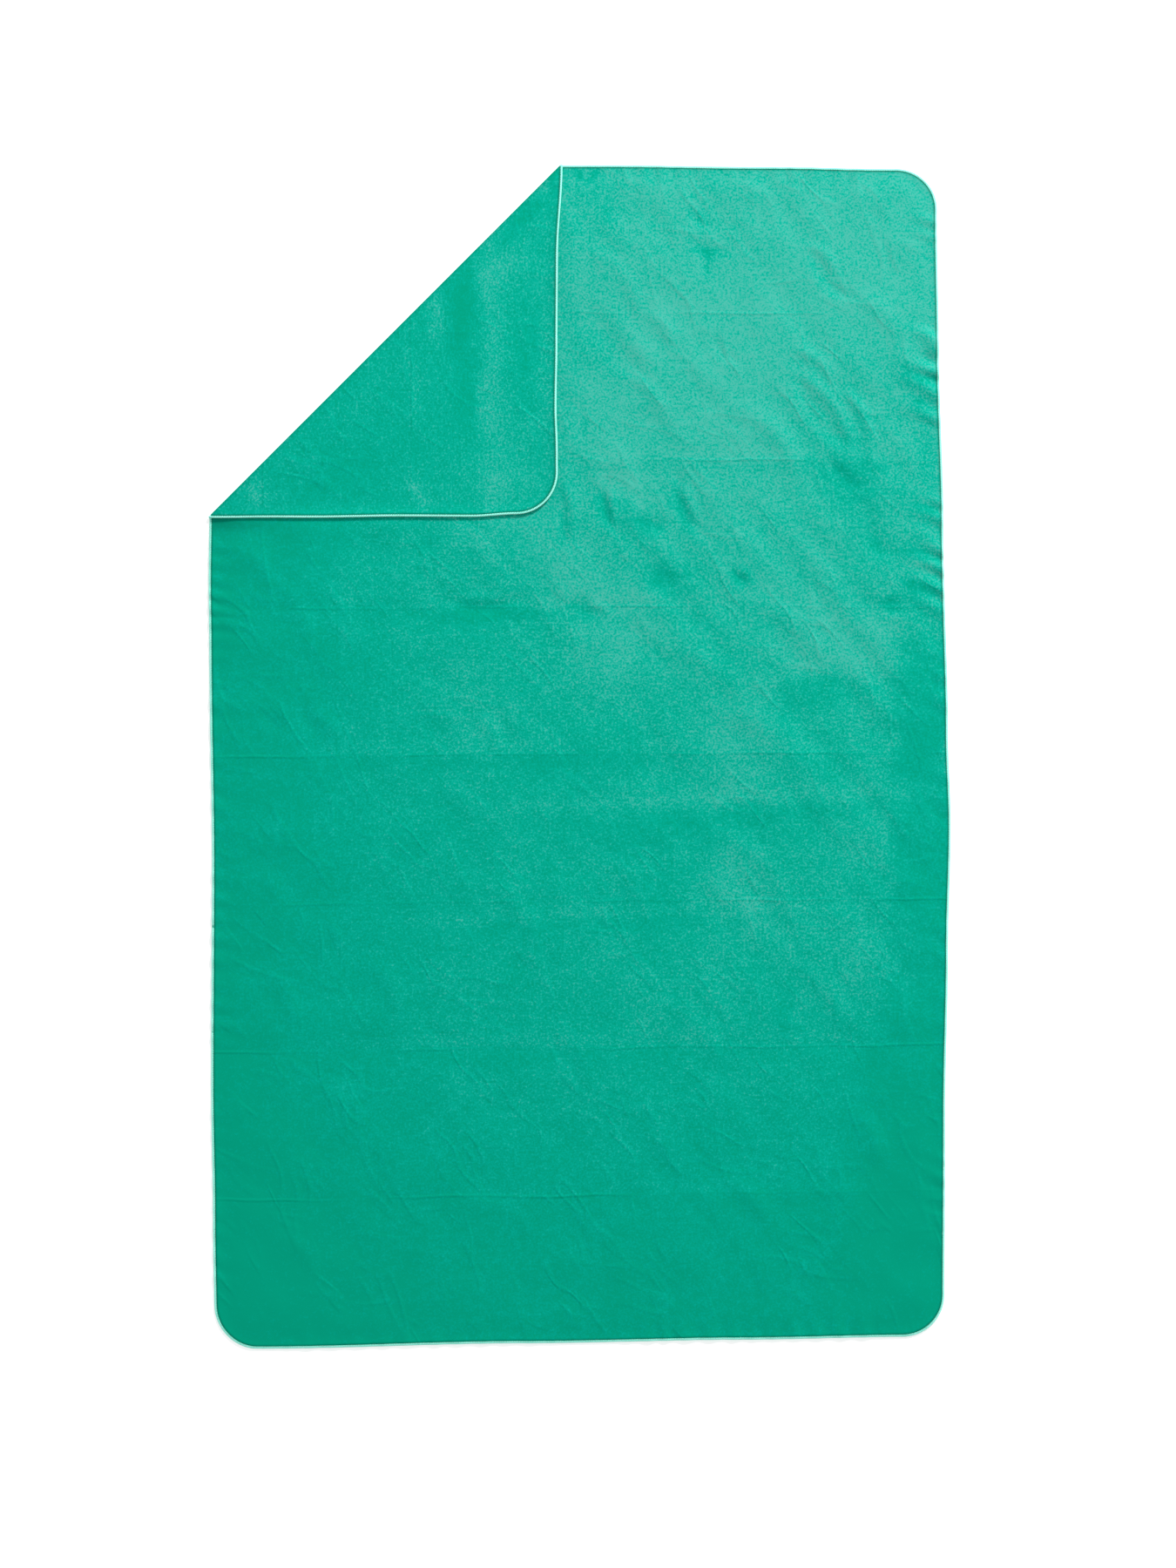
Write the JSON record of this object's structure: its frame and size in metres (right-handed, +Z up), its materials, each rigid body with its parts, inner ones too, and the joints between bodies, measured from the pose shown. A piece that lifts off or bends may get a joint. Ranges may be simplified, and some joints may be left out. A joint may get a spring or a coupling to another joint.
{
  "type": "quick dry towel",
  "caption": "Flat rectangular microfibre towel with rounded corners and an overlocked edge, laid out with its top left corner folded over.",
  "frame": {"origin": "middle of the towel's underside, on the surface it lies on", "axes": "+X across the towel, +Y along its length towards the end with the folded corner, +Z up through the cloth"},
  "size_m": [0.8, 1.29, 0.0036],
  "materials": {
    "cloth": "matt brushed microfibre suede",
    "edging_thread": "soft polyester thread"
  },
  "bodies": {
    "towel": {"main_cloth": "cloth", "fold_bend_cloth": "cloth", "needle_thread": "edging_thread", "upper_looper_thread": "edging_thread", "lower_looper_thread": "edging_thread"},
    "corner": {"corner_cloth": "cloth", "corner_needle_thread": "edging_thread", "corner_upper_looper_thread": "edging_thread", "corner_lower_looper_thread": "edging_thread"}
  },
  "joints": [
    {"name": "corner_fold", "type": "hinge", "parent": "towel", "child": "corner", "pos_m": [-0.2075, 0.4525, 0.0018], "axis": [-0.7071, -0.7071, 0], "range_deg": [0, 179.8], "deforming": ["fold_bend_cloth"]}
  ]
}
